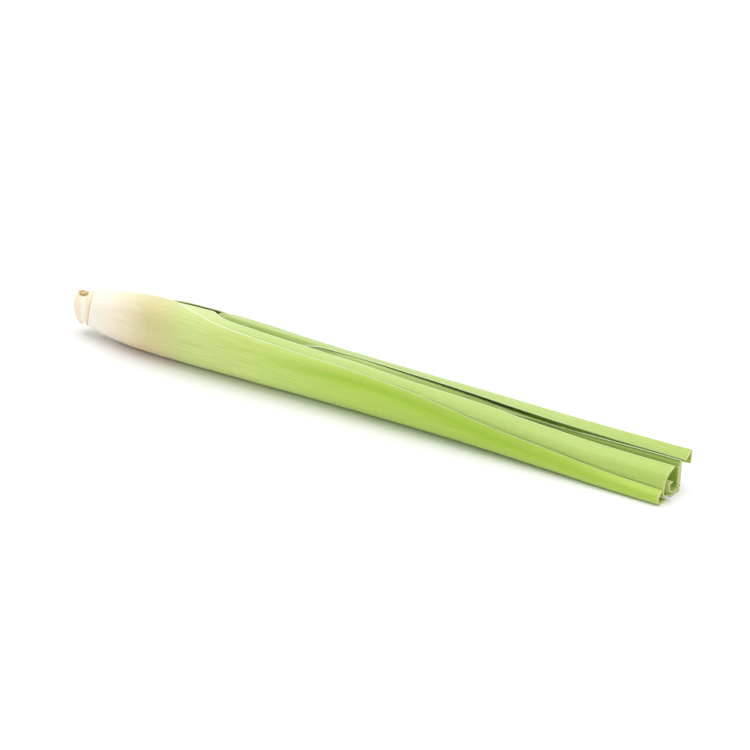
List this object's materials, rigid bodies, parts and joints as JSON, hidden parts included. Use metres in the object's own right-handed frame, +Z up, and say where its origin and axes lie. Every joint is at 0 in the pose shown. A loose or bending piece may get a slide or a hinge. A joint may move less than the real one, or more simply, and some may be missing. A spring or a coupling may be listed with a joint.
{
  "type": "lemongrass stalk",
  "caption": "Cut lemongrass stalk on its side: a short stem with a pale bulb of rolled leaf sheaths that open into green blades, cut off at both ends.",
  "frame": {"origin": "middle of the stalk's footprint, on the surface that it lies on", "axes": "+X along the stalk from the cut root face towards the cut leaf ends, +Z up"},
  "size_m": [0.3042, 0.027, 0.0256],
  "materials": {
    "stem": "matt cut plant stem, cream with a tan rim and ring",
    "dry_scale": "dry, brown and papery",
    "outer_leaf": "waxy leaf, cream at the bulb and yellow-green above",
    "second_leaf": "waxy leaf, pale green",
    "top_leaf": "waxy leaf, finely veined yellow-green",
    "back_leaf": "waxy leaf, mid green with a brown cut end",
    "inner_leaf": "soft young leaf, pale yellow-green"
  },
  "bodies": {
    "root": {"stem_base": "stem", "dry_scale": "dry_scale", "outer_leaf": "outer_leaf", "second_leaf": "second_leaf", "top_leaf": "top_leaf", "back_leaf": "back_leaf", "inner_leaf": "inner_leaf"}
  },
  "joints": []
}
